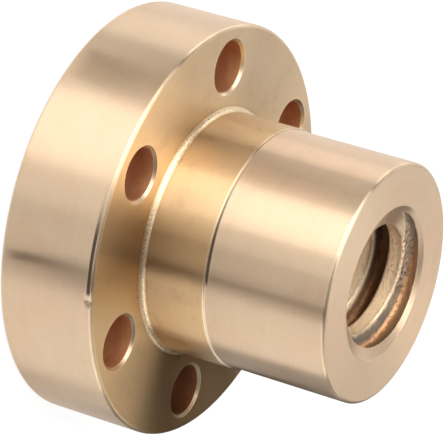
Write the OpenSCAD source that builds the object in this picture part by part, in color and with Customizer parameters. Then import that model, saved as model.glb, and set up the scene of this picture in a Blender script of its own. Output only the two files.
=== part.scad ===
// Flanged lead screw nut, turned from one piece of bronze bar.
// Millimetres. +Z runs along the screw axis, and z = 0 is the flange's back face.

/* [Flange] */
// outside diameter of the flange
flange_d = 48; // [42:0.5:60]
// thickness of the flange
flange_t = 12; // [8:0.5:18]
// radius of the rounded rims of the flange
flange_edge = 0.45; // [0.2:0.05:1]

/* [Register and body] */
// diameter of the locating register next to the flange
register_d = 28; // [25:0.5:33]
// length of the register from the flange's front face
register_len = 8; // [5:0.5:12]
// diameter of the relieved body in front of the register
body_d = 27.6; // [24:0.1:32]
// overall length from the flange's back face to the body's front face
total_len = 35; // [28:0.5:60]
// radius of the body's rounded front rim
body_edge = 0.4; // [0.2:0.05:1]
// fillet between the register and the flange
root_fillet = 0.5; // [0.2:0.05:1]

/* [Bolt holes] */
// number of bolt holes
bolt_count = 6; // [3:1:8]
// diameter of the bolt circle
bolt_circle_d = 38.5; // [36:0.5:42]
// diameter of a bolt hole
bolt_hole_d = 6; // [4:0.1:7]
// width of the edge break at both ends of a bolt hole
bolt_hole_edge = 0.3; // [0.1:0.05:0.6]

/* [Thread] */
// axial distance from one turn of the thread to the next
thread_pitch = 4; // [3:0.25:6]
// diameter across the crests of the thread, which is the plain bore's
crest_d = 13; // [10:0.25:16]
// diameter across the bottom of the groove
root_d = 16.5; // [15:0.25:18]
// axial width of a crest
crest_w = 1.75; // [0.8:0.05:2]
// lean of each flank from square to the axis, in degrees
flank_deg = 15; // [5:1:20]
// diameter of the countersink at both mouths
mouth_d = 17.7; // [17:0.1:22]
// full angle of the countersink
mouth_deg = 120; // [60:5:140]
// turn of the thread's start about the axis, in degrees
thread_turn = 0; // [0:5:355]

/* [Hidden] */
$fn = 96;
past = 1;                                         // how far a cutter reaches past the face it cuts
flange_r = flange_d / 2;
register_r = register_d / 2;
body_r = body_d / 2;
step_z = flange_t + register_len;
step_edge = (register_r - body_r) * 0.9;
crest_r = crest_d / 2;
root_r = root_d / 2;
mouth_r = mouth_d / 2;
mouth_z = (mouth_r - crest_r) / tan(mouth_deg / 2);
bolt_r = bolt_hole_d / 2;
flank = tan(flank_deg);
groove_in = 0.6;                                  // how far the cutter reaches inside the crests
root_half = (thread_pitch - crest_w) / 2 - (root_r - crest_r) * flank;
inner_half = (thread_pitch - crest_w) / 2 + groove_in * flank;
turn_steps = 36;
groove_at = 33.45;                                // height of the groove at angle 0
first_turn = ceil(groove_at / thread_pitch) + 1;
groove_low = groove_at - first_turn * thread_pitch;
turns = ceil((total_len - groove_low) / thread_pitch) + 1;
bronze = [0.80, 0.66, 0.46];

// Half section of the outside: rounded flange, filleted register, relieved body.
module outside_section() {
    difference() {
        union() {
            square([flange_r - flange_edge, flange_t]);
            translate([0, flange_edge])
                square([flange_r, flange_t - 2 * flange_edge]);
            for (z = [flange_edge, flange_t - flange_edge])
                translate([flange_r - flange_edge, z])
                    circle(r = flange_edge);
            square([register_r, step_z - step_edge]);
            square([register_r - step_edge, step_z]);
            translate([register_r - step_edge, step_z - step_edge])
                circle(r = step_edge);
            translate([0, flange_t - past])
                square([register_r + root_fillet, past + root_fillet]);
            square([body_r, total_len - body_edge]);
            square([body_r - body_edge, total_len]);
            translate([body_r - body_edge, total_len - body_edge])
                circle(r = body_edge);
        }
        translate([register_r + root_fillet, flange_t + root_fillet])
            circle(r = root_fillet);
    }
}

// Half section of the plain bore with a countersink at each mouth.
module bore_section() {
    past_r = mouth_r + past * tan(mouth_deg / 2);
    translate([0, -past])
        square([crest_r, total_len + 2 * past]);
    polygon([
        [0, total_len - mouth_z], [crest_r, total_len - mouth_z],
        [past_r, total_len + past], [0, total_len + past]
    ]);
    polygon([
        [0, mouth_z], [crest_r, mouth_z],
        [past_r, -past], [0, -past]
    ]);
}

// Cutter for the thread: a trapezoid carried round the axis while it climbs one pitch a turn.
module groove_cutter() {
    n = turns * turn_steps;
    corners = [
        [crest_r - groove_in, -inner_half], [root_r, -root_half],
        [root_r, root_half], [crest_r - groove_in, inner_half]
    ];
    points = [
        for (i = [0:n], c = corners)
            let (a = i * 360 / turn_steps + thread_turn, z = groove_low + i * thread_pitch / turn_steps)
                [c[0] * cos(a), c[0] * sin(a), z + c[1]]
    ];
    faces = concat(
        [[2, 1, 0], [3, 2, 0]],
        [[4 * n, 4 * n + 1, 4 * n + 2], [4 * n, 4 * n + 2, 4 * n + 3]],
        [for (i = [0:n - 1], k = [0:3]) let (j = (k + 1) % 4) [4 * i + k, 4 * i + 4 + j, 4 * i + 4 + k]],
        [for (i = [0:n - 1], k = [0:3]) let (j = (k + 1) % 4) [4 * i + k, 4 * i + j, 4 * i + 4 + j]]
    );
    polyhedron(points = points, faces = faces);
}

// One bolt hole through the flange, with both edges broken.
module bolt_hole() {
    break_h = bolt_hole_edge + past;
    translate([0, 0, -past])
        cylinder(r = bolt_r, h = flange_t + 2 * past);
    translate([0, 0, -past])
        cylinder(r1 = bolt_r + break_h, r2 = bolt_r, h = break_h);
    translate([0, 0, flange_t - bolt_hole_edge])
        cylinder(r1 = bolt_r, r2 = bolt_r + break_h, h = break_h);
}

module flanged_nut() {
    color(bronze)
        difference() {
            rotate_extrude()
                difference() {
                    outside_section();
                    bore_section();
                }
            for (i = [0:bolt_count - 1])
                rotate([0, 0, i * 360 / bolt_count])
                    translate([bolt_circle_d / 2, 0, 0])
                        bolt_hole();
            groove_cutter();
        }
}

flanged_nut();
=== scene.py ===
"""Flanged bronze lead screw nut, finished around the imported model."""
import math

import bpy
import numpy as np
from mathutils import Matrix, Vector


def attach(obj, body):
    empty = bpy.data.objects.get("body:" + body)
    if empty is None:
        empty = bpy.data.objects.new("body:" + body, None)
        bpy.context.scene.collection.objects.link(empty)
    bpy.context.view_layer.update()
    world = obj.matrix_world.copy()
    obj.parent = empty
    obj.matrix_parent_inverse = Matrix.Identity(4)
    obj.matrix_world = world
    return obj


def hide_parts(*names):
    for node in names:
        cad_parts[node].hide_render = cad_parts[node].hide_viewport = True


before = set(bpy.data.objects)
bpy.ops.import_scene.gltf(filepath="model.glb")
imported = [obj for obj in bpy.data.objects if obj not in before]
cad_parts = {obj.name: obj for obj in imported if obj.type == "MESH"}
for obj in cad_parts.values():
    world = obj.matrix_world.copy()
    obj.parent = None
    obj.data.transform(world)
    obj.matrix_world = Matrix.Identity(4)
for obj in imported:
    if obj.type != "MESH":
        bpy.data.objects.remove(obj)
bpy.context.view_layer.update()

MM = 0.001

# Sizes of the nut, in millimetres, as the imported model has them.
FLANGE_R, FLANGE_T, FLANGE_EDGE = 24.0, 12.0, 0.45
REGISTER_R, STEP_Z, STEP_EDGE, STEP_FOOT = 14.0, 20.0, 0.18, 0.06
BODY_R, TOTAL_LEN, BODY_EDGE = 13.8, 35.0, 0.4
ROOT_FILLET = 0.5
BOLT_COUNT, BOLT_CIRCLE_R, BOLT_R, BOLT_EDGE = 6, 19.25, 3.0, 0.3
PITCH, CREST_R, ROOT_R, CREST_W = 4.0, 6.5, 8.25, 1.75
FLANK_DEG = 15
FLANK = math.tan(math.radians(FLANK_DEG))
GROOVE_AT = 33.45
MOUTH_R, MOUTH_SLOPE = 8.85, math.tan(math.radians(60))
MOUTH_ROUND = 0.08
BOLT_SOFT = 0.07
ROOT_SOFT, CREST_SOFT, CREASE_SOFT = 0.22, 0.26, 0.03

# The nick in the flange's front rim: its angle, its depth and half sizes, and the place, height
# and half sizes of the low lip raised beside it.
NICK_AT, NICK_DEEP, NICK_LONG, NICK_TALL = math.radians(-81.5), 0.17, 0.34, 0.42
LIP_AWAY, LIP_UP, LIP_LONG, LIP_TALL = 0.62, 0.02, 0.26, 0.38

# How finely the surfaces are cut. Columns are drawn together near the nick.
COLUMNS = 240
SECTOR_COLUMNS = COLUMNS // BOLT_COUNT
SIDE_STEPS, ROUND_STEPS = 16, 7
FACE_RINGS, FACE_GATHER = 7, 0.8
FINE_ROWS_FROM = FLANGE_T - 2.0
GATHER_SHARE, GATHER_SPREAD = 0.75, math.radians(3.5)
WELD_PER_MM, WELD_OFFSET = 2e4, 0.137

# The floor and the light panels, in metres.
FLOOR_HALF, FLOOR_LOW, FLOOR_GLOW = 3.0, -0.02 * MM, 0.85
PANEL_AWAY, SURROUND = 0.6, 0.15

# The dark cards and strips, painted shade seen only in reflections, in millimetres. A wall that
# faces an angle a mirrors the floor along the bearing 2a + MIRROR_TURN, in degrees.
CARD_AWAY, CARD_LOW, CARD_TALL, CARD_FOOT = 60.0, 14.0, 56.0, 32.0
NEAR_CARD_AT, NEAR_CARD_AWAY, NEAR_CARD_TALL = (20.0, 8.0), 18.0, 36.0
CARD_COLUMNS, CARD_UP, RISE_OVER, RISE_POWER, FOOT_FROM, FOOT_OVER = 45, 0.5, 0.7, 2.2, 0.64, 0.17
MIRROR_TURN, STRIP_COLUMNS, STRIP_UP = 108.3, 9, 0.3
FLANGE_STRIP, BODY_STRIP = (2.0, 26.0), (40.0, 90.0, 400.0)

# The camera: its angles in degrees, what it aims at and how far it stands off in millimetres.
CAMERA_AZIMUTH, CAMERA_ELEVATION, CAMERA_ROLL = -18.29, 26.97, -106.36
CAMERA_AIM, CAMERA_AWAY, CAMERA_LENS = (-2.33, -0.96, 14.2), 375.3, 269.86

# Colours of the turned bronze, as linear red, green and blue.
PALE_GOLD, PINK_GOLD = (0.67, 0.508, 0.348), (0.695, 0.50, 0.343)
# Painted reflections: warm in the corner by the register and golden on one side of the face.
WARM_REFLECTION, GOLDEN_REFLECTION = (0.69, 0.47, 0.25), (0.72, 0.455, 0.20)
BROWN_PATCH, DARK_SPOT = (0.42, 0.25, 0.11), (0.36, 0.20, 0.085)
FINE_MARK, BROAD_MARK, GRAIN_SHADE = (0.50, 0.34, 0.21), (0.52, 0.36, 0.23), (0.45, 0.31, 0.19)
STAIN, SPECK = (0.45, 0.30, 0.17), (0.30, 0.19, 0.11)
FILLET_LINE, FILLET_SAND = (0.40, 0.25, 0.12), (0.88, 0.72, 0.50)
# A dark line on the flange's rim, and on the step a painted shade in its foot and a painted
# highlight on its edge.
EDGE_SHINE, RIM_LINE_AND_STEP_SHADE, STEP_HIGHLIGHT = (0.76, 0.59, 0.41), (0.035, 0.02, 0.01), (0.88, 0.75, 0.56)

# Colours of the bore: crests, flanks, grooves, pits and countersink.
CREST_TAN, CREST_LIGHT = (0.84, 0.60, 0.36), (0.96, 0.73, 0.47)
# The second is a painted highlight along the rims of the deeper crests.
CREST_DULL, CREST_HIGHLIGHT = (0.52, 0.37, 0.23), (0.95, 0.76, 0.53)
FLANK_DARK, FLANK_GREY, FLANK_SLATE = (0.15, 0.105, 0.07), (0.30, 0.21, 0.135), (0.10, 0.08, 0.06)
FLANK_DEEP, FLANK_DEEP_WARM = (0.085, 0.04, 0.02), (0.22, 0.10, 0.045)
FLANK_UNDER = (0.42, 0.24, 0.12)
GROOVE_BROWN, GROOVE_LIGHT = (0.17, 0.078, 0.032), (0.31, 0.15, 0.062)
# The first is painted shade on the groove's side under the crest.
GROOVE_SHADE, GROOVE_SLATE = (0.13, 0.068, 0.028), (0.10, 0.075, 0.055)
# A painted highlight in the grooves.
GROOVE_ORANGE_HIGHLIGHT = (0.78, 0.44, 0.22)
# The second paints a highlight on the crests' edges as well as their wear.
PIT, BORE_EDGE_SHINE = (0.07, 0.042, 0.025), (0.78, 0.60, 0.39)
MOUTH_MARK, MOUTH_GOLD = (0.60, 0.43, 0.28), (0.66, 0.485, 0.335)

# Colours of the bolt holes.
DRILLED_RED, DRILLED_ORANGE, DRILL_RING = (0.58, 0.27, 0.13), (0.64, 0.34, 0.16), (0.46, 0.22, 0.11)
# The first is painted shade in the hole towards bearing 0.
HOLE_SHADE, HOLE_EDGE = (0.27, 0.11, 0.05), (0.74, 0.56, 0.38)

# Colours of the stage.
FLOOR_PALE, CARD_BLACK, CARD_GREY = (0.9, 0.9, 0.9), (0.03, 0.022, 0.016), (0.20, 0.17, 0.14)


class Skin:
    """Grids of points with their normals and marks, gathered into one closed mesh.

    Every point carries three marks from 0 to 1: edge on a rounded or broken edge, corner in
    a fillet or at the bottom of a groove, and mouth on a countersink.
    """

    MARKS = ("edge", "corner", "mouth")

    def __init__(self):
        self.points, self.normals, self.marks, self.faces, self.finish = [], [], [], [], []
        self.count = 0

    def add_grid(self, points, normals, marks, finish, closed=True):
        """Adds a (rows, columns, 3) grid of four-sided cells. A closed grid wraps round."""
        rows, cols = points.shape[:2]
        index = np.arange(rows * cols).reshape(rows, cols) + self.count
        right = np.roll(index, -1, axis=1) if closed else index[:, 1:]
        left = index if closed else index[:, :-1]
        quads = np.stack([left[:-1], right[:-1], right[1:], left[1:]], -1).reshape(-1, 4)
        self.points.append(points.reshape(-1, 3))
        self.normals.append(normals.reshape(-1, 3))
        self.marks.append(np.broadcast_to(marks, points.shape).reshape(-1, 3))
        self.faces.append(quads)
        self.finish.append(np.full(len(quads), finish))
        self.count += rows * cols

    def make(self, name, materials):
        """Welds points that share a place, drops cells that closed up, and makes the object."""
        points = np.concatenate(self.points)
        normals = np.concatenate(self.normals)
        marks = np.concatenate(self.marks)
        faces = np.concatenate(self.faces)
        finish = np.concatenate(self.finish)
        key = np.round(points * WELD_PER_MM + WELD_OFFSET).astype(np.int64)
        _, first, same = np.unique(key, axis=0, return_index=True, return_inverse=True)
        same = same.reshape(-1)
        faces = same[faces]
        welded = points[first]
        summed = np.zeros_like(welded)
        np.add.at(summed, same, normals)
        summed /= np.linalg.norm(summed, axis=1, keepdims=True)
        marked = np.zeros_like(welded)
        np.maximum.at(marked, same, marks)
        keep = faces != np.roll(faces, -1, axis=1)
        corners = keep.sum(1)
        whole = corners > 2
        ring, sides = faces[whole][keep[whole]], corners[whole]
        mesh = bpy.data.meshes.new(name)
        mesh.vertices.add(len(welded))
        mesh.vertices.foreach_set("co", (welded * MM).astype(np.float32).ravel())
        mesh.loops.add(len(ring))
        mesh.loops.foreach_set("vertex_index", ring.astype(np.int32))
        mesh.polygons.add(len(sides))
        mesh.polygons.foreach_set("loop_start", (np.cumsum(sides) - sides).astype(np.int32))
        mesh.polygons.foreach_set("material_index", finish[whole].astype(np.int32))
        mesh.polygons.foreach_set("use_smooth", np.ones(len(sides), bool))
        for material in materials:
            mesh.materials.append(material)
        for column, label in enumerate(self.MARKS):
            layer = mesh.attributes.new(label, "FLOAT", "POINT")
            layer.data.foreach_set("value", marked[:, column].astype(np.float32))
        mesh.update(calc_edges=True)
        mesh.normals_split_custom_set_from_vertices(summed)
        piece = bpy.data.objects.new(name, mesh)
        bpy.context.scene.collection.objects.link(piece)
        return piece


def arc(centre, radius, start, end, steps):
    """Points and outward directions on an arc: centre plus radius times (cos a, sin a).

    A radius above 0 is a rounded edge and one below 0 a hollow corner, marked most at its middle.
    """
    a = np.radians(np.linspace(start, end, steps + 1))
    way = np.stack([np.cos(a), np.sin(a)], -1)
    middle = 1 - np.abs(np.linspace(-1, 1, steps + 1)) ** 3
    marks = np.zeros((steps + 1, 3))
    marks[:, 0 if radius > 0 else 1] = middle
    return np.array(centre) + abs(radius) * way, way * (1.0 if radius > 0 else -1.0), marks


def line(start, end, steps, normal, edge=0.0):
    """Points spread evenly from start to end, all facing one way."""
    t = np.linspace(0, 1, steps + 1)[:, None]
    points = np.array(start) * (1 - t) + np.array(end) * t
    way = np.array(normal, float)
    marks = np.tile([edge, 0.0, 0.0], (steps + 1, 1))
    return points, np.tile(way / np.linalg.norm(way), (steps + 1, 1)), marks


def joined(*runs):
    """Runs of a section put end to end: all their points, all their directions, all their marks."""
    return tuple(np.concatenate([run[k] for run in runs]) for k in range(3))


def flipped(run, height):
    """The same run mirrored in the plane at half the height, in the opposite order."""
    return run[0][::-1] * (1, -1) + (0, height), run[1][::-1] * (1, -1), run[2][::-1]


def turned(section, angles, centre=(0.0, 0.0)):
    """A section of (radius, height) carried round an upright axis: x = r cos a, y = r sin a."""
    points, ways, marks = section
    ring = np.stack([np.cos(angles), np.sin(angles)], -1)
    flat = points[:, None, 0, None] * ring[None] + np.array(centre)
    face = ways[:, None, 0, None] * ring[None]
    tall = flat.shape[:2] + (1,)
    grid = np.concatenate([flat, np.broadcast_to(points[:, 1, None, None], tall)], -1)
    facing = np.concatenate([face, np.broadcast_to(ways[:, 1, None, None], tall)], -1)
    return grid, facing, np.broadcast_to(marks[:, None], grid.shape)


def gathered(angles):
    """Angles drawn together near the nick: each moves to it by a share that fades as a bell."""
    away = np.mod(angles - NICK_AT + math.pi, 2 * math.pi) - math.pi
    return angles - GATHER_SHARE * away * np.exp(-(away / GATHER_SPREAD) ** 2)


def column_angles():
    """The angles of the columns round the screw axis, the first on a line between two holes."""
    return gathered((np.arange(COLUMNS) / COLUMNS - 0.5 / BOLT_COUNT) * 2 * math.pi)


def flange_rim_section():
    """The flange's wall with both rounded rims, from the back face to the front face."""
    r, e = FLANGE_R - FLANGE_EDGE, FLANGE_EDGE
    return joined(
        arc((r, e), e, -90, 0, ROUND_STEPS),
        line((FLANGE_R, e), (FLANGE_R, FINE_ROWS_FROM), 7, (1, 0)),
        line((FLANGE_R, FINE_ROWS_FROM), (FLANGE_R, FLANGE_T - e), 10, (1, 0)),
        arc((r, FLANGE_T - e), e, 0, 90, ROUND_STEPS),
    )


def nicked(grid, facing, marks):
    """The flange's wall with one small nick in its front rim.

    Depth = two bells across the rim and round the axis, a dent with a low raised lip beside it,
    both fading out where the rim turns into the front face.
    """
    angle = np.arctan2(grid[..., 1], grid[..., 0])
    along = (np.mod(angle - NICK_AT + math.pi, 2 * math.pi) - math.pi) * FLANGE_R
    up = grid[..., 2] - (FLANGE_T - 0.5)
    fade = 1 - facing[..., 2] ** 4
    dent = fade * np.exp(-(along / NICK_LONG) ** 2 - (up / NICK_TALL) ** 2)
    lip = fade * np.exp(-((along + LIP_AWAY) / LIP_LONG) ** 2 - (up / LIP_TALL) ** 2)
    pushed = grid - facing * (NICK_DEEP * dent + LIP_UP * lip)[..., None]
    wide = np.concatenate([pushed[:, -1:], pushed, pushed[:, :1]], 1)
    across = np.gradient(pushed, axis=0)
    around = (wide[:, 2:] - wide[:, :-2]) / 2
    tilt = np.cross(around, across)
    tilt /= np.maximum(np.linalg.norm(tilt, axis=-1, keepdims=True), 1e-9)
    touched = np.clip((dent + lip) * 6, 0, 1)[..., None]
    mixed = facing * (1 - touched) + tilt * touched
    worn = np.concatenate([np.maximum(marks[..., :1], lip[..., None]), marks[..., 1:]], -1)
    return pushed, mixed / np.linalg.norm(mixed, axis=-1, keepdims=True), worn


def body_section():
    """The fillet, the register, the small step, the body and its rounded front rim."""
    fillet_r, fillet_z = REGISTER_R + ROOT_FILLET, FLANGE_T + ROOT_FILLET
    drop = math.acos(1 - (REGISTER_R - BODY_R) / (STEP_EDGE + STEP_FOOT))
    edge_z = STEP_Z - STEP_EDGE
    foot_z = edge_z + (STEP_EDGE + STEP_FOOT) * math.sin(drop)
    swing = math.degrees(drop)
    rim_r, rim_z = BODY_R - BODY_EDGE, TOTAL_LEN - BODY_EDGE
    return joined(
        arc((fillet_r, fillet_z), -ROOT_FILLET, 270, 180, ROUND_STEPS),
        line((REGISTER_R, fillet_z), (REGISTER_R, edge_z), 5, (1, 0)),
        arc((REGISTER_R - STEP_EDGE, edge_z), STEP_EDGE, 0, swing, 6),
        arc((BODY_R + STEP_FOOT, foot_z), -STEP_FOOT, 180 + swing, 180, 4),
        line((BODY_R, foot_z), (BODY_R, rim_z), 10, (1, 0)),
        arc((rim_r, rim_z), BODY_EDGE, 0, 90, ROUND_STEPS),
    )


def front_face_section():
    """The body's front face, from its rim to the mouth."""
    return line((BODY_R - BODY_EDGE, TOTAL_LEN), (MOUTH_R + MOUTH_ROUND, TOTAL_LEN), 6, (0, 1))


def hole_section():
    """The wall of a bolt hole from its front edge to its back edge, both broken at 45 degrees."""
    top, out, b = FLANGE_T, BOLT_R + BOLT_EDGE, BOLT_EDGE
    s = BOLT_SOFT * math.tan(math.radians(22.5))
    d = s / math.sqrt(2)
    front = joined(
        line((out + s, top), (out + s, top), 0, (0, 1), 0.6),
        line((out - d, top - d), (BOLT_R + d, top - b + d), 3, (-1, 1), 1.0),
        line((BOLT_R, top - b - s), (BOLT_R, top - b - s), 0, (-1, 0)),
    )
    wall = line((BOLT_R, top - 1.0), (BOLT_R, 1.0), 6, (-1, 0))
    return joined(front, wall, flipped(front, top))


def sector_outline(inner_r, outer_r, height, turn):
    """Outline of one sixth of a flat ring: outer arc, side, inner arc and side, once round."""
    half = math.pi / BOLT_COUNT
    across = np.linspace(-half, half, SECTOR_COLUMNS + 1)[:-1]
    down = np.linspace(0, 1, SIDE_STEPS + 1)[:-1]
    radius = np.concatenate([
        np.full(SECTOR_COLUMNS, outer_r), outer_r + (inner_r - outer_r) * down,
        np.full(SECTOR_COLUMNS, inner_r), inner_r + (outer_r - inner_r) * down,
    ])
    sides = np.full(SIDE_STEPS, half)
    angle = np.concatenate([across, sides, -across, -sides])
    angle = gathered(angle + turn) - turn
    level = np.full(len(angle), height)
    return np.stack([radius * np.cos(angle), radius * np.sin(angle), level], -1)


def hole_angles(outline):
    """An angle round the hole for each point of the outline, half by direction and half even."""
    way = np.unwrap(np.arctan2(outline[:, 1], outline[:, 0] - BOLT_CIRCLE_R))
    even = way[0] + np.arange(len(way)) / len(way) * 2 * math.pi
    return 0.5 * (way + even)


def flange_sector(turn):
    """The flange's faces round one hole, and the hole's wall, as one grid of rings.

    Each ring runs once round the hole. On the faces a ring is (1 - t) of the sector's outline
    plus t of the hole's edge, and through the hole it is the wall's section turned.
    """
    front = sector_outline(REGISTER_R + ROOT_FILLET, FLANGE_R - FLANGE_EDGE, FLANGE_T, turn)
    back = sector_outline(MOUTH_R + MOUTH_ROUND, FLANGE_R - FLANGE_EDGE, 0.0, turn)
    angles = hole_angles(front)
    wall, wall_facing, wall_marks = turned(hole_section(), angles, (BOLT_CIRCLE_R, 0.0))
    t = (np.linspace(0, 1, FACE_RINGS)[:-1] ** FACE_GATHER)[:, None, None]
    face_up = front[None] * (1 - t) + wall[:1] * t
    face_down = (back[None] * (1 - t) + wall[-1:] * t)[::-1]
    up = np.broadcast_to([0.0, 0.0, 1.0], face_up.shape)
    grid = np.concatenate([face_up, wall, face_down])
    facing = np.concatenate([up, wall_facing, -up])
    plain = np.zeros(up.shape)
    marks = np.concatenate([plain, wall_marks, plain])
    c, s = math.cos(turn), math.sin(turn)
    spin = np.array([[c, s, 0], [-s, c, 0], [0, 0, 1]])
    return grid @ spin, facing @ spin, marks, len(face_up) - 1, len(wall)


def thread_section():
    """One pitch of the thread: height from the groove's centre, radius, slope and how near a
    crest's corner, with the corners rounded."""
    root_half = (PITCH - CREST_W) / 2 - (ROOT_R - CREST_R) * FLANK
    crest_half = (PITCH - CREST_W) / 2
    lean = math.radians(90 - FLANK_DEG)
    turn = np.linspace(0, lean, 3)
    root_u = root_half + ROOT_SOFT * (np.sin(turn) - math.tan(lean / 2))
    root_h = ROOT_R - ROOT_SOFT * (1 - np.cos(turn))
    crest_u = crest_half - CREST_SOFT * (np.sin(turn) - math.tan(lean / 2))
    crest_h = CREST_R + CREST_SOFT * (1 - np.cos(turn))
    flank_u, flank_h = (root_u[-1] + crest_u[-1]) / 2, (root_h[-1] + crest_h[-1]) / 2
    u = np.concatenate([root_u, [flank_u], crest_u[::-1]])
    h = np.concatenate([root_h, [flank_h], crest_h[::-1]])
    slope = -np.concatenate([np.tan(turn), [math.tan(lean)], np.tan(turn)[::-1]])
    near = np.array([0.0, 0.0, 0.0, 0.0, 0.6, 0.9, 0.45])
    return (
        np.concatenate([u, [PITCH / 2], PITCH - u[::-1]]),
        np.concatenate([h, [CREST_R], h[::-1]]),
        np.concatenate([slope, [0.0], -slope[::-1]]),
        np.concatenate([near, [0.0], near[::-1]]),
    )


def bore_points(angles, z):
    """Radius of the bore at each angle and height, as points with directions and marks.

    Radius = the larger of the thread's section at (height - pitch * turns) and the countersink's
    cone, blended over a few hundredths of a millimetre.
    """
    u, h, slope, near = thread_section()
    climb = PITCH * angles / (2 * math.pi)
    phase = np.mod(z - climb[None] - GROOVE_AT, PITCH)
    thread = np.interp(phase, u, h, period=PITCH)
    lean = np.interp(phase, u, slope, period=PITCH)
    depth = np.minimum(z, TOTAL_LEN - z)
    cone = MOUTH_R - depth * MOUTH_SLOPE
    side = np.where(z > TOTAL_LEN / 2, MOUTH_SLOPE, -MOUTH_SLOPE)
    blend = CREASE_SOFT * np.clip((depth - MOUTH_ROUND / 2) / 0.2, 0, 1)
    gap = cone - thread
    spread = np.sqrt(gap ** 2 + blend ** 2 + 1e-12)
    radius = (cone + thread + spread) / 2
    share = (1 + gap / spread) / 2
    rise = share * side + (1 - share) * lean
    twist = -(1 - share) * lean * PITCH / (2 * math.pi) / radius
    c, s = np.cos(angles), np.sin(angles)
    points = np.stack([radius * c, radius * s, z], -1)
    facing = np.stack([-c - twist * s, -s + twist * c, rise], -1)
    low = np.clip((radius - CREST_R) / (ROOT_R - CREST_R), 0, 1)
    crest = np.interp(phase, u, near, period=PITCH)
    edge = np.maximum((1 - share) * crest, 4 * share * (1 - share))
    marks = np.stack([edge, (1 - share) * low, share], -1)
    return points, facing / np.linalg.norm(facing, axis=-1, keepdims=True), marks


def mouth_heights():
    """Heights of the rows through the front countersink, from its edge down to the plain thread."""
    root_at = TOTAL_LEN - (MOUTH_R - ROOT_R) / MOUTH_SLOPE
    crest_at = TOTAL_LEN - (MOUTH_R - CREST_R) / MOUTH_SLOPE
    return np.concatenate([
        np.linspace(TOTAL_LEN - MOUTH_ROUND / 2, root_at, 6),
        np.linspace(root_at, crest_at, 22)[1:],
        [crest_at - MOUTH_ROUND],
    ])


def bore_surface(angles):
    """The bore from mouth to mouth: level rows through both countersinks, and between them
    rows that climb one pitch a turn, which stop where they meet the countersinks' rows."""
    top = mouth_heights()
    bottom = TOTAL_LEN - top[::-1]
    u = thread_section()[0]
    low, high = bottom[0], top[-1]
    start = GROOVE_AT - PITCH * math.ceil((GROOVE_AT + PITCH) / PITCH)
    turns = math.ceil((TOTAL_LEN + PITCH - start) / PITCH)
    rows = np.concatenate([start + PITCH * k + u for k in range(turns)])
    climb = PITCH * angles / (2 * math.pi)
    z = np.clip(rows[::-1, None] + climb[None], low, high)
    level = np.zeros(len(angles))
    z = np.concatenate([top[:, None] + level, z, bottom[:, None] + level])
    return bore_points(angles, z)


def mouth_round(front):
    """The softened edge where a face turns into the countersink."""
    z = TOTAL_LEN if front else 0.0
    inward = -1.0 if front else 1.0
    cut = MOUTH_ROUND / 2
    outer, bend = (MOUTH_R + MOUTH_ROUND, z), (MOUTH_R + 0.01, z + inward * 0.012)
    inner = (MOUTH_R - cut * MOUTH_SLOPE, z + inward * cut)
    run = joined(
        line(outer, outer, 0, (0, -inward)),
        line(bend, bend, 0, (-0.45, -inward), 0.8),
        line(inner, inner, 0, (-1, -inward * MOUTH_SLOPE), 0.4),
    )
    return run if front else tuple(part[::-1] for part in run)


def nut_skin():
    """Every surface of the nut, gathered in order."""
    skin = Skin()
    angles = column_angles()
    skin.add_grid(*nicked(*turned(flange_rim_section(), angles)), 0)
    skin.add_grid(*turned(body_section(), angles), 0)
    skin.add_grid(*turned(front_face_section(), angles), 3)
    for front in (True, False):
        skin.add_grid(*turned(mouth_round(front), angles), 0)
    for k in range(BOLT_COUNT):
        grid, facing, marks, start, count = flange_sector(2 * math.pi * k / BOLT_COUNT)
        a, b = start + 1, start + count
        for rows, finish in ((slice(None, a + 1), 0), (slice(a, b + 1), 2), (slice(b, None), 0)):
            skin.add_grid(grid[rows], facing[rows], marks[rows], finish)
    closed = np.append(angles, angles[0] + 2 * math.pi)
    skin.add_grid(*bore_surface(closed), 1, closed=False)
    return skin


def new_material(name):
    """An empty node material with its Principled shader."""
    material = bpy.data.materials.new(name)
    material.use_nodes = True
    return material, material.node_tree, material.node_tree.nodes["Principled BSDF"]


def put(tree, kind, values=None, **settings):
    """Adds a node, sets its properties, and sets or links its inputs by name or number."""
    node = tree.nodes.new("ShaderNode" + kind)
    for key, value in settings.items():
        setattr(node, key, value)
    for key, value in (values or {}).items():
        if isinstance(value, bpy.types.NodeSocket):
            tree.links.new(value, node.inputs[key])
        else:
            node.inputs[key].default_value = value
    return node


def calc(tree, operation, *values, clamp=False):
    """One math node over up to three values or sockets."""
    node = put(tree, "Math", dict(enumerate(values)), operation=operation, use_clamp=clamp)
    return node.outputs[0]


def times(tree, *values):
    """The product of two or more values."""
    product = values[0]
    for value in values[1:]:
        product = calc(tree, "MULTIPLY", product, value)
    return product


def built_up(tree, start, *shares):
    """A start plus every value times its share, each given as a (value, share) pair."""
    for value, share in shares:
        start = calc(tree, "MULTIPLY_ADD", value, share, start)
    return start


def span(tree, value, low, high, to_low=0.0, to_high=1.0):
    """A value carried smoothly from the span low..high to to_low..to_high."""
    node = put(tree, "MapRange", {
        "Value": value, "From Min": low, "From Max": high, "To Min": to_low, "To Max": to_high,
    }, interpolation_type="SMOOTHSTEP")
    return node.outputs["Result"]


def window(tree, value, rise, fall):
    """1 between two edges of a value: it rises over one span and falls over the other."""
    return times(tree, span(tree, value, *rise), span(tree, value, fall[1], fall[0]))


def tinted(tree, amount, under, over):
    """Two colours mixed by an amount."""
    node = put(tree, "Mix", {"Factor": amount}, data_type="RGBA")
    for socket, value in (("A", under), ("B", over)):
        place = next(i for i in node.inputs if i.name == socket and i.type == "RGBA")
        if isinstance(value, bpy.types.NodeSocket):
            tree.links.new(value, place)
        else:
            place.default_value = (*value, 1.0)
    return next(o for o in node.outputs if o.type == "RGBA")


def painted(tree, colour, *coats):
    """A colour with coats laid over it in turn, each an (amount, colour) pair."""
    for amount, coat in coats:
        colour = tinted(tree, amount, colour, coat)
    return colour


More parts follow.
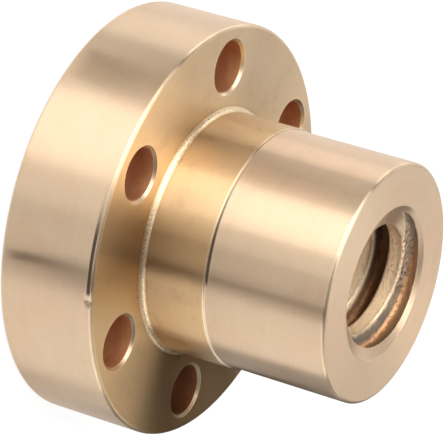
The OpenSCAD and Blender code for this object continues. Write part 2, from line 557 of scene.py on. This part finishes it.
def new_group(name, inputs, outputs):
    """A node group with named float inputs, each with its usual value, and named outputs."""
    tree = bpy.data.node_groups.new(name, "ShaderNodeTree")
    for label, value in inputs.items():
        socket = tree.interface.new_socket(label, in_out="INPUT", socket_type="NodeSocketFloat")
        socket.default_value = value
    for label in outputs:
        tree.interface.new_socket(label, in_out="OUTPUT", socket_type="NodeSocketFloat")
    return tree, tree.nodes.new("NodeGroupInput").outputs, tree.nodes.new("NodeGroupOutput").inputs


def placed(tree, group, **values):
    """A group's one output, from a node of it with its own values."""
    return put(tree, "Group", values, node_tree=group).outputs[0]


def millimetres(tree):
    """The place in millimetres, its x, y and z, and its distance from the screw axis."""
    metres = put(tree, "TexCoord").outputs["Object"]
    place = put(tree, "VectorMath", {0: metres, 3: 1 / MM}, operation="SCALE").outputs[0]
    x, y, z = put(tree, "SeparateXYZ", {0: place}).outputs
    radius = calc(tree, "SQRT", calc(tree, "MULTIPLY_ADD", x, x, times(tree, y, y)))
    return place, x, y, z, radius


def lathe_marks_group():
    """Fine marks that run round the screw axis, on walls and faces alike.

    Noise read at (radius, height) times the closeness, and only slowly round the axis.
    """
    tree, given, out = new_group(
        "lathe_marks", {"Closeness": 6.0, "Waver": 2.0, "Detail": 2.0}, ["Height"])
    _, x, y, z, radius = millimetres(tree)
    reach = calc(tree, "MAXIMUM", radius, 0.001)
    across = put(tree, "CombineXYZ", {
        0: times(tree, radius, given["Closeness"]),
        1: times(tree, z, given["Closeness"]),
        2: times(tree, calc(tree, "DIVIDE", x, reach), given["Waver"]),
    }).outputs[0]
    around = times(tree, calc(tree, "DIVIDE", y, reach), given["Waver"])
    noise = put(tree, "TexNoise", {
        "Vector": across, "W": around, "Scale": 1.0, "Detail": given["Detail"], "Roughness": 0.6,
    }, noise_dimensions="4D")
    tree.links.new(noise.outputs[0], out["Height"])
    return tree


def cloud_group():
    """Soft patches: noise over the object, stretched between two levels."""
    tree, given, out = new_group(
        "cloud", {"Scale": 0.15, "Low": 0.4, "High": 0.6, "Detail": 3.0}, ["Mask"])
    noise = put(tree, "TexNoise", {
        "Vector": millimetres(tree)[0], "Scale": given["Scale"], "Detail": given["Detail"],
    })
    tree.links.new(span(tree, noise.outputs[0], given["Low"], given["High"]), out["Mask"])
    return tree


def pits_group():
    """Small round pits: a cell's middle within a reach, kept in a share of the cells."""
    tree, given, out = new_group("pits", {"Scale": 2.0, "Reach": 0.25, "Share": 0.2}, ["Mask"])
    place = millimetres(tree)[0]
    cells = put(tree, "TexVoronoi", {"Vector": place, "Scale": given["Scale"], "Randomness": 1.0})
    pick = put(tree, "SeparateColor", {0: cells.outputs["Color"]}).outputs[0]
    kept = calc(tree, "LESS_THAN", pick, given["Share"])
    size = times(tree, given["Reach"], built_up(tree, 0.4, (pick, 2.0)))
    away = calc(tree, "DIVIDE", cells.outputs["Distance"], size)
    dip = calc(tree, "SUBTRACT", 1.0, away, clamp=True)
    tree.links.new(times(tree, kept, calc(tree, "MULTIPLY", dip, 1.6, clamp=True)), out["Mask"])
    return tree


def worn_edge_group():
    """Edge wear: the edge mark broken up by fine noise."""
    tree, given, out = new_group(
        "worn_edge", {"Edge": 0.0, "Scale": 1.2, "Breakup": 0.35}, ["Mask"])
    place = millimetres(tree)[0]
    noise = put(tree, "TexNoise", {"Vector": place, "Scale": given["Scale"], "Detail": 4.0})
    swing = calc(tree, "SUBTRACT", noise.outputs[0], 0.5)
    level = calc(tree, "MULTIPLY_ADD", swing, given["Breakup"], given["Edge"])
    tree.links.new(span(tree, level, 0.25, 0.85), out["Mask"])
    return tree


def effect_groups():
    """The effects that the metal finishes share, each built once."""
    return {
        "marks": lathe_marks_group(), "cloud": cloud_group(),
        "pits": pits_group(), "worn": worn_edge_group(),
    }


def mark(tree, name):
    """One of the surface marks carried by the mesh."""
    return put(tree, "Attribute", attribute_name=name).outputs["Fac"]


def toward(tree, x, y, radius, bearing, spread):
    """1 on the side of the screw axis at a bearing, fading to 0 over a spread, both in degrees."""
    way = math.radians(bearing)
    along = calc(tree, "MULTIPLY_ADD", x, math.cos(way), times(tree, y, math.sin(way)))
    lean = calc(tree, "DIVIDE", along, calc(tree, "MAXIMUM", radius, 0.001))
    return span(tree, lean, math.cos(math.radians(spread)), math.cos(math.radians(spread / 3)))


def fed(tree, shader, colour, rough, metal):
    """Links the colour, the roughness and the share of bare metal to the shader."""
    for socket, value in (("Base Color", colour), ("Roughness", rough), ("Metallic", metal)):
        tree.links.new(value, shader.inputs[socket])


def brushed(tree, shader, anisotropic):
    """Makes the shine of a lathe-turned surface: spread across the marks, tight along them."""
    shader.inputs["Anisotropic"].default_value = anisotropic
    shader.inputs["Anisotropic Rotation"].default_value = 0.25
    around = put(tree, "Tangent", direction_type="RADIAL", axis="Z")
    tree.links.new(around.outputs["Tangent"], shader.inputs["Tangent"])


def relief(tree, shader, *layers):
    """Bumps laid on one another, each a (height, depth in millimetres) pair."""
    normal = None
    for height, depth in layers:
        bump = put(tree, "Bump", {"Height": height, "Strength": 1.0, "Distance": depth * MM})
        if normal:
            tree.links.new(normal, bump.inputs["Normal"])
        normal = bump.outputs["Normal"]
    tree.links.new(normal, shader.inputs["Normal"])


def reflection_and_patch_masks(tree, x, y, z, radius, grime):
    """Masks for painted reflections, warm in the band from the flange's face to the step and golden
    on one side of the face, and for the brown patch and the dark spot on the register."""
    front = window(tree, z, (FLANGE_T - 0.3, FLANGE_T - 0.05), (STEP_Z - 0.2, STEP_Z + 0.05))
    # Painted reflection: a warm glow, stronger towards the register.
    warm_reflection = times(tree, front, span(tree, radius, 20.0, 14.3, 0.35, 1.0))
    face = times(tree, front, span(tree, z, FLANGE_T + 0.6, FLANGE_T + 0.1))
    # Painted reflection: the face golden on the side towards bearing -65.
    golden_reflection = times(tree, face, toward(tree, x, y, radius, -65.0, 130.0), 0.75)
    wall = times(tree, front, span(tree, radius, 14.8, 14.3))
    brown = times(tree, wall, toward(tree, x, y, radius, 182.0, 36.0),
                  span(tree, grime, 0.0, 1.0, 0.4, 0.6))
    # A dark spot on the register towards bearing -97.
    dark_spot = times(tree, wall, toward(tree, x, y, radius, -97.0, 15.0), 0.45)
    return warm_reflection, golden_reflection, brown, dark_spot


def fillet_masks(tree, z, radius):
    """Masks for the sandy band in the fillet and the thin line along both its sides.

    Reach = the larger of the distances past the register's wall and past the flange's face.
    """
    reach = calc(tree, "MAXIMUM", calc(tree, "SUBTRACT", radius, REGISTER_R),
                 calc(tree, "SUBTRACT", z, FLANGE_T))
    beside = calc(tree, "GREATER_THAN", z, FLANGE_T - 0.02)
    band = times(tree, beside, span(tree, reach, ROOT_FILLET + 0.12, ROOT_FILLET - 0.05))
    line_edges = (ROOT_FILLET + 0.06, ROOT_FILLET + 0.16), (ROOT_FILLET + 0.18, ROOT_FILLET + 0.42)
    return band, times(tree, beside, window(tree, reach, *line_edges))


def rim_line_and_step_masks(tree, x, y, z, radius):
    """Masks for the dark line along the flange's rim, the painted shade in the step's foot, and the
    painted highlight on the step's edge.
    """
    angle = times(tree, calc(tree, "ARCTAN2", y, x), 180 / math.pi)
    rim_line_arc = window(tree, angle, (-116.0, -98.0), (-83.8, -82.3))
    shaded = window(tree, angle, (-158.0, -104.0), (-86.0, -82.0))
    rim_edges = (FLANGE_T - 0.84, FLANGE_T - 0.68), (FLANGE_T - 0.36, FLANGE_T - 0.24)
    outside = calc(tree, "GREATER_THAN", radius, FLANGE_R - 0.3)
    rim = times(tree, outside, window(tree, z, *rim_edges))
    # Painted shade in the foot of the step, between bearings -158 and -82.
    foot = times(tree, span(tree, z, STEP_Z - 0.06, STEP_Z + 0.02),
                 span(tree, built_up(tree, z, (rim_line_arc, -0.12)), STEP_Z + 0.28, STEP_Z + 0.16))
    dark = calc(tree, "MAXIMUM", times(tree, rim, rim_line_arc), times(tree, foot, shaded))
    # Painted highlight on the step's edge, on the side towards bearing -52.
    step = window(tree, z, (STEP_Z - 0.18, STEP_Z - 0.08), (STEP_Z + 0.04, STEP_Z + 0.12))
    return dark, times(tree, step, toward(tree, x, y, radius, -52.0, 38.0), 0.55)


def turned_bronze(effects, name, anisotropic, dullness):
    """Satin turned bronze: pale gold, pinker in patches, with a painted warm reflection by the
    register.
    """
    material, tree, shader = new_material(name)
    _, x, y, z, radius = millimetres(tree)
    fine = placed(tree, effects["marks"], Closeness=5.0, Waver=3.0)
    broad = placed(tree, effects["marks"], Closeness=1.1, Waver=1.2)
    patches = placed(tree, effects["cloud"], Scale=0.13, Low=0.38, High=0.64)
    grime = placed(tree, effects["cloud"], Scale=0.55, Low=0.52, High=0.72, Detail=5.0)
    specks = placed(tree, effects["pits"], Scale=1.3, Reach=0.16, Share=0.22)
    grain = placed(tree, effects["cloud"], Scale=5.5, Low=0.35, High=0.65, Detail=2.0)
    worn = placed(tree, effects["worn"], Edge=mark(tree, "edge"), Breakup=0.2)
    warm_reflection, golden_reflection, brown, dark_spot = reflection_and_patch_masks(tree, x, y, z, radius, grime)
    band, thin_line = fillet_masks(tree, z, radius)
    dark, step_highlight = rim_line_and_step_masks(tree, x, y, z, radius)
    colour = painted(
        tree, tinted(tree, patches, PALE_GOLD, PINK_GOLD),
        # painted reflection, warmer towards the register
        (times(tree, warm_reflection, 0.9), WARM_REFLECTION),
        # painted reflection, golden on one side of the face
        (golden_reflection, GOLDEN_REFLECTION),
        (brown, BROWN_PATCH),
        (dark_spot, DARK_SPOT),
        (span(tree, fine, 0.3, 0.7, 0.10, 0.0), FINE_MARK),
        (span(tree, broad, 0.35, 0.65, 0.08, 0.0), BROAD_MARK),
        (times(tree, grime, built_up(tree, 0.10, (warm_reflection, 0.22))), STAIN),
        (span(tree, grain, 0.0, 1.0, 0.07, 0.0), GRAIN_SHADE),
        (times(tree, specks, 0.30), SPECK),
        (times(tree, thin_line, span(tree, grime, 0.0, 1.0, 0.25, 0.7)), FILLET_LINE),
        (times(tree, band, span(tree, grain, 0.0, 1.0, 0.72, 1.0), 0.9), FILLET_SAND),
        (times(tree, worn, 0.5), EDGE_SHINE),
        # dark line on the rim, and painted shade in the step's foot
        (dark, RIM_LINE_AND_STEP_SHADE),
        # painted highlight on the step's edge
        (step_highlight, STEP_HIGHLIGHT),
    )
    sandy = times(tree, band, calc(tree, "SUBTRACT", grain, 0.75))
    rough = built_up(tree, 0.335 + dullness,
                     (fine, 0.05), (patches, 0.02), (sandy, 0.16), (worn, -0.03))
    rim_line_and_step_light = calc(tree, "MAXIMUM", dark, step_highlight)
    fed(tree, shader, colour, rough, built_up(tree, 1.0, (rim_line_and_step_light, -0.8)))
    brushed(tree, shader, anisotropic)
    relief(tree, shader, (fine, 0.006), (times(tree, grain, calc(tree, "ADD", band, 0.2)), 0.007),
           (times(tree, specks, -1.0), 0.02))
    return material


def groove_colour(tree, x, y, z, radius, smears, swing, etched):
    """The groove's bottom: brown streaks, painted shade on its half under the crest nearer the
    mouth, a painted orange highlight on its low front side and a slate tip.
    """
    turns = calc(tree, "MULTIPLY_ADD", calc(tree, "ARCTAN2", y, x), -0.5 / math.pi,
                 calc(tree, "MULTIPLY_ADD", z, 1 / PITCH, -GROOVE_AT / PITCH))
    across_groove = built_up(tree, calc(tree, "WRAP", turns, 0.5, -0.5), (swing, 0.4))
    orange = times(tree, span(tree, across_groove, -0.04, -0.18), toward(tree, x, y, radius, 28.0, 62.0),
                   span(tree, etched, 0.0, 1.0, 0.85, 0.45))
    return painted(
        tree, tinted(tree, span(tree, smears, 0.35, 0.65), GROOVE_BROWN, GROOVE_LIGHT),
        # painted shade on the groove's half nearer the front mouth, under the crest there
        (span(tree, across_groove, -0.08, 0.10), GROOVE_SHADE),
        # painted highlight, orange, on the groove's low side towards bearing 28
        (orange, GROOVE_ORANGE_HIGHLIGHT),
        (times(tree, toward(tree, x, y, radius, 158.0, 62.0), 0.9), GROOVE_SLATE),
    )


def flank_colour(tree, x, y, radius, smears, first):
    """The flanks that face the front mouth: grey on the first turn and brown on the deeper ones."""
    grey = tinted(tree, span(tree, smears, 0.38, 0.62), FLANK_DARK, FLANK_GREY)
    grey = tinted(tree, times(tree, toward(tree, x, y, radius, 5.0, 75.0), 0.8), grey, FLANK_SLATE)
    deeper = tinted(tree, toward(tree, x, y, radius, 15.0, 75.0), FLANK_DEEP, FLANK_DEEP_WARM)
    return tinted(tree, first, deeper, grey)


def thread_masks(tree, way, depth, swing, cut, aged):
    """Masks from the way a surface faces along the axis, from 1 to the front to -1 to the back.

    In order: all that faces the front, the flanks that do, the flanks that face the back, and
    the groove's bottom, the last two edges moved about by the smears.
    """
    facing = span(tree, way, 0.25, 0.85)
    inner = built_up(tree, depth, (swing, 0.6), (aged, -0.12))
    flank = times(tree, cut, facing, span(tree, inner, -0.05, 0.14))
    under = times(tree, cut, span(tree, way, -0.35, -0.85))
    bottom = span(tree, built_up(tree, depth, (swing, 0.5)), 0.68, 0.98)
    return facing, flank, under, bottom


def pitting(tree, effects, rim, aged):
    """Masks for all that is eaten into the thread, and for its etched patches alone.

    Round pits, more of them on the crests' rims, and etching where the thread is aged.
    """
    crowd = placed(tree, effects["cloud"], Scale=0.28, Low=0.46, High=0.60, Detail=2.0)
    etched = placed(tree, effects["cloud"], Scale=2.8, Low=0.53, High=0.62, Detail=5.0)
    pits = placed(tree, effects["pits"], Scale=2.2, Reach=0.36, Share=0.30)
    pits = times(tree, pits, span(tree, rim, 0.0, 1.0, 0.35, 0.9))
    patches = times(tree, etched, calc(tree, "MAXIMUM", aged, times(tree, crowd, 0.4)))
    return calc(tree, "MAXIMUM", pits, patches), etched


def threaded_bronze(effects):
    """The threaded bore: tan crests with painted highlights on their edges, grey pitted flanks,
    brown grooves with painted shade and a painted highlight, and a turned countersink.
    """
    material, tree, shader = new_material("threaded_bronze")
    _, x, y, z, radius = millimetres(tree)
    way = put(tree, "SeparateXYZ", {0: put(tree, "TexCoord").outputs["Normal"]}).outputs[2]
    edge, mouth, depth = mark(tree, "edge"), mark(tree, "mouth"), mark(tree, "corner")
    fine = placed(tree, effects["marks"], Closeness=4.0, Waver=3.0)
    smears = placed(tree, effects["marks"], Closeness=1.6, Waver=6.0, Detail=4.0)
    grain = placed(tree, effects["cloud"], Scale=5.0, Low=0.35, High=0.65, Detail=3.0)
    worn = placed(tree, effects["worn"], Edge=edge, Scale=0.9, Breakup=0.7)

    swing, cut = calc(tree, "SUBTRACT", smears, 0.5), calc(tree, "SUBTRACT", 1.0, mouth)
    first = span(tree, z, TOTAL_LEN - 4.4, TOTAL_LEN - 3.6)
    aged = times(tree, toward(tree, x, y, radius, 112.0, 62.0), first)
    rim = span(tree, edge, 0.0, 0.7)
    facing, flank, under, bottom = thread_masks(tree, way, depth, swing, cut, aged)
    eaten, etched = pitting(tree, effects, rim, aged)
    eaten = times(tree, cut, eaten)
    worn = times(tree, worn, built_up(tree, 0.9, (aged, -0.85)))
    lip = times(tree, span(tree, z, TOTAL_LEN - 2.6, TOTAL_LEN - 1.3),
                calc(tree, "SUBTRACT", 1.0, facing), calc(tree, "SUBTRACT", 1.0, depth, clamp=True))
    mouth = calc(tree, "MAXIMUM", mouth, lip)
    colour = painted(
        tree, tinted(tree, grain, CREST_TAN, CREST_LIGHT),
        (times(tree, rim, aged, 0.6), CREST_DULL),
        (flank, flank_colour(tree, x, y, radius, smears, first)),
        # painted highlight along the rims of the crests past the first turn
        (times(tree, rim, built_up(tree, 0.85, (first, -0.85))), CREST_HIGHLIGHT),
        (times(tree, under, 0.8), FLANK_UNDER),
        (bottom, groove_colour(tree, x, y, z, radius, smears, swing, etched)),
        (times(tree, eaten, built_up(tree, 0.25, (facing, 0.65))), PIT),
        # paler worn edges: partly wear, partly a painted highlight along the crests' edges
        (worn, BORE_EDGE_SHINE),
        (mouth, tinted(tree, span(tree, fine, 0.3, 0.7), MOUTH_MARK, MOUTH_GOLD)),
    )
    dull = times(tree, built_up(tree, 1.0, (mouth, -0.7)),
                 calc(tree, "MAXIMUM", times(tree, flank, 0.5), times(tree, cut, 0.6)),
                 calc(tree, "SUBTRACT", 1.0, worn))
    rough = built_up(tree, 0.42, (grain, 0.08), (flank, 0.12), (worn, -0.14), (mouth, -0.08))
    fed(tree, shader, colour, rough, calc(tree, "SUBTRACT", 1.0, dull))
    brushed(tree, shader, 0.7)
    relief(tree, shader, (fine, 0.006), (times(tree, grain, cut), 0.02),
           (times(tree, eaten, -1.0), 0.05))
    return material


def drilled_bronze(effects):
    """The bolt holes: reddish walls with rings left by the drill, painted shade in the hole towards
    bearing 0, and bright broken edges.
    """
    material, tree, shader = new_material("drilled_bronze")
    place, x, y, _, radius = millimetres(tree)
    squeezed = put(tree, "VectorMath", {0: place, 1: (0.25, 0.25, 3.2)}, operation="MULTIPLY")
    noise = put(tree, "TexNoise", {"Vector": squeezed.outputs[0], "Scale": 1.0, "Detail": 3.0})
    rings = noise.outputs[0]
    patches = placed(tree, effects["cloud"], Scale=0.35, Low=0.4, High=0.62)
    grain = placed(tree, effects["cloud"], Scale=4.0, Low=0.35, High=0.65)
    edge = mark(tree, "edge")
    worn = placed(tree, effects["worn"], Edge=edge, Scale=1.6, Breakup=0.1)
    colour = painted(
        tree, tinted(tree, patches, DRILLED_RED, DRILLED_ORANGE),
        (span(tree, rings, 0.35, 0.65, 0.30, 0.0), DRILL_RING),
        # painted shade: the hole towards bearing 0 darker
        (times(tree, toward(tree, x, y, radius, 0.0, 50.0), 0.9), HOLE_SHADE),
        (worn, HOLE_EDGE),
    )
    rough = built_up(tree, 0.46, (grain, 0.06), (worn, -0.12))
    fed(tree, shader, colour, rough, built_up(tree, 0.8, (worn, 0.2)))
    plain = calc(tree, "SUBTRACT", 1.0, edge, clamp=True)
    relief(tree, shader, (times(tree, rings, plain), 0.025), (times(tree, grain, plain), 0.006))
    return material


def floor():
    """A plain pale floor that reads white and keeps the shadow."""
    h, low = FLOOR_HALF, FLOOR_LOW
    mesh = bpy.data.meshes.new("floor")
    mesh.from_pydata([(-h, -h, low), (h, -h, low), (h, h, low), (-h, h, low)], [], [(0, 1, 2, 3)])
    piece = bpy.data.objects.new("floor", mesh)
    bpy.context.scene.collection.objects.link(piece)
    material, tree, shader = new_material("floor_paint")
    shader.inputs["Base Color"].default_value = (*FLOOR_PALE, 1)
    shader.inputs["Roughness"].default_value = 0.8
    path = put(tree, "LightPath").outputs
    seen = calc(tree, "MAXIMUM", path["Is Camera Ray"], path["Is Glossy Ray"])
    seen = calc(tree, "MAXIMUM", seen, path["Is Transmission Ray"])
    glow = put(tree, "Emission", {"Color": (1, 1, 1, 1)}).outputs[0]
    share = times(tree, seen, FLOOR_GLOW)
    mix = put(tree, "MixShader", {"Fac": share, 1: shader.outputs[0], 2: glow})
    tree.links.new(mix.outputs[0], tree.nodes["Material Output"].inputs["Surface"])
    mesh.materials.append(material)


def soft_panel(name, bearings, heights, brightness, reflected=True):
    """A flat soft light panel that faces the nut and fills a span of bearings and height angles.

    Width or height = twice the distance times the tangent of half the span. A panel that isn't
    reflected only fills dull surfaces, such as the walls of the bore.
    """
    bearing, height = math.radians(sum(bearings) / 2), math.radians(sum(heights) / 2)
    wide, tall = (2 * PANEL_AWAY * math.tan(math.radians((high - low) / 2))
                  for low, high in (bearings, heights))
    lamp = bpy.data.lights.new(name, "AREA")
    lamp.shape = "RECTANGLE"
    lamp.size, lamp.size_y = wide, tall
    lamp.energy = brightness * math.pi * wide * tall
    piece = bpy.data.objects.new(name, lamp)
    level = math.cos(height)
    way = Vector((math.cos(bearing) * level, math.sin(bearing) * level, math.sin(height)))
    piece.location = Vector((0, 0, FLANGE_T * MM)) + way * PANEL_AWAY
    piece.rotation_mode = "QUATERNION"
    piece.rotation_quaternion = way.to_track_quat("Z", "Y")
    piece.visible_camera = False
    piece.visible_glossy = reflected
    bpy.context.scene.collection.objects.link(piece)


def lights():
    """Soft panels standing round the nut with gaps between them, and a dim even surround."""
    world = bpy.data.worlds.new("studio")
    bpy.context.scene.world = world
    world.use_nodes = True
    surround = world.node_tree.nodes["Background"].inputs
    surround["Color"].default_value, surround["Strength"].default_value = (1, 1, 1, 1), SURROUND
    soft_panel("front_panel", (202, 242), (-1, 18), 7.2)
    soft_panel("front_edge_panel", (244, 262), (-1, 20), 2.6)
    soft_panel("right_dim_panel", (265, 286), (-1, 22), 1.1)
    soft_panel("right_panel", (301, 358), (-1, 22), 2.6)
    soft_panel("left_panel", (136, 161), (-1, 16), 4.2)
    soft_panel("left_back_panel", (112, 135), (-1, 16), 2.4)
    soft_panel("back_panel", (80, 111), (-1, 22), 0.9)
    soft_panel("face_panel", (38, 98), (26, 66), 1.35)
    soft_panel("left_high_panel", (166, 196), (26, 40), 5.2)
    soft_panel("high_panel", (180, 222), (36, 74), 2.3)
    soft_panel("bore_panel", (215, 265), (48, 80), 7.0, reflected=False)
    soft_panel("top_panel", (110, 160), (66, 92), 1.8)


def card_paint(name, colour):
    """Dull paint in one colour, for the pieces that only darken reflections."""
    material, _, shader = new_material(name)
    shader.inputs["Base Color"].default_value = (*colour, 1)
    shader.inputs["Roughness"].default_value = 0.9
    return material


def only_reflected(name, points, faces, material):
    """A stage piece from points in millimetres, which shows in reflections and nowhere else."""
    mesh = bpy.data.meshes.new(name)
    mesh.from_pydata(points * MM, [], faces.tolist())
    mesh.materials.append(material)
    piece = bpy.data.objects.new(name, mesh)
    bpy.context.scene.collection.objects.link(piece)
    piece.visible_camera = piece.visible_diffuse = piece.visible_shadow = False


def bands_between(rings, count):
    """Four-sided faces between neighbouring rings of a given count of points."""
    k = np.arange((rings - 1) * count).reshape(rings - 1, -1)[:, :-1].ravel()
    return np.stack([k, k + count, k + 1 + count, k + 1], -1)


def floor_strip(name, material, angles):
    """A strip that lies on the floor where the nut's walls between two angles mirror it.

    From radius r at angle a it goes a distance d along the bearing 2a + MIRROR_TURN: the point is
    (r cos a + d cos(2a + m), r sin a + d sin(2a + m)), first for the flange and then for the body.
    """
    a = np.radians(np.linspace(*angles, STRIP_COLUMNS))
    b = 2 * a + math.radians(MIRROR_TURN)
    out, along = np.stack([np.cos(a), np.sin(a)], -1), np.stack([np.cos(b), np.sin(b)], -1)
    rows = [(FLANGE_R, d) for d in FLANGE_STRIP] + [(BODY_R, d) for d in BODY_STRIP]
    up = np.full((len(a), 1), STRIP_UP)
    points = np.concatenate([np.concatenate([out * r + along * d, up], 1) for r, d in rows])
    only_reflected(name, points, bands_between(len(rows), len(a)), material)


def dark_card(name, material, centre, bearings, away, tall, foot=0.0):
    """A dark card that stands curved beside the nut and is seen only in reflections.

    Rows of (radius, height) from the centre: the foot's inner edge, the bend and the top. The
    top rises ever faster over the first two thirds of the bearings, and the foot's inner edge
    then runs in towards the nut.
    """
    t = np.linspace(0, 1, CARD_COLUMNS)
    b = np.radians(bearings[0] + (bearings[1] - bearings[0]) * t)
    top = tall[0] + (tall[1] - tall[0]) * np.clip(t / RISE_OVER, 0, 1) ** RISE_POWER
    reach = away - foot * np.clip((t - FOOT_FROM) / FOOT_OVER, 0, 1)
    ring = np.stack([np.cos(b), np.sin(b)], -1)
    out, low = np.full(len(t), away), np.full(len(t), CARD_UP)
    rows = [(reach, low), (out, low), (out, top)]
    points = np.concatenate([
        np.concatenate([ring * r[:, None] + np.array(centre), h[:, None]], 1) for r, h in rows])
    only_reflected(name, points, bands_between(len(rows), len(b)), material)


def dark_pieces():
    """The cards and strips that give the nut's reflections their dark parts: painted shade, as dark
    sheets seen in reflections and nowhere else.
    """
    black, grey = card_paint("card_black", CARD_BLACK), card_paint("card_grey", CARD_GREY)
    near_tall = (NEAR_CARD_TALL, NEAR_CARD_TALL)
    dark_card("far_card", black, (0, 0), (-4, 72), CARD_AWAY, (CARD_LOW, CARD_TALL), CARD_FOOT)
    dark_card("near_card", black, NEAR_CARD_AT, (35, 125), NEAR_CARD_AWAY, near_tall)
    floor_strip("left_strip", grey, (-149, -138.5))
    floor_strip("front_strip", black, (-89.4, -86.8))


def camera():
    """The camera, at the angle from which the nut is known, rolled on its side."""
    azimuth, elevation = math.radians(CAMERA_AZIMUTH), math.radians(CAMERA_ELEVATION)
    roll, out = math.radians(CAMERA_ROLL), math.cos(elevation)
    back = Vector((math.sin(azimuth) * out, -math.cos(azimuth) * out, math.sin(elevation)))
    level = (-back).cross(Vector((0, 0, 1))).normalized()
    upright = level.cross(-back)
    up = math.cos(roll) * upright + math.sin(roll) * level
    right = up.cross(back)
    data = bpy.data.cameras.new("camera")
    data.lens, data.sensor_width = CAMERA_LENS, 36.0
    data.clip_start, data.clip_end = 0.01, 20.0
    piece = bpy.data.objects.new("camera", data)
    place = Matrix((right, up, back)).transposed().to_4x4()
    place.translation = Vector(CAMERA_AIM) * MM + back * CAMERA_AWAY * MM
    piece.matrix_world = place
    bpy.context.scene.collection.objects.link(piece)
    bpy.context.scene.camera = piece


def nut():
    """The finished nut, in place of the plain one."""
    effects = effect_groups()
    finishes = [turned_bronze(effects, "turned_bronze", 1.0, 0.0), threaded_bronze(effects),
                drilled_bronze(effects), turned_bronze(effects, "faced_bronze", 0.55, 0.03)]
    piece = nut_skin().make("lead_screw_nut", finishes)
    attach(piece, "root")
    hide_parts("flanged_nut")


bpy.context.scene.view_settings.view_transform = "Standard"
camera()
floor()
lights()
dark_pieces()
nut()
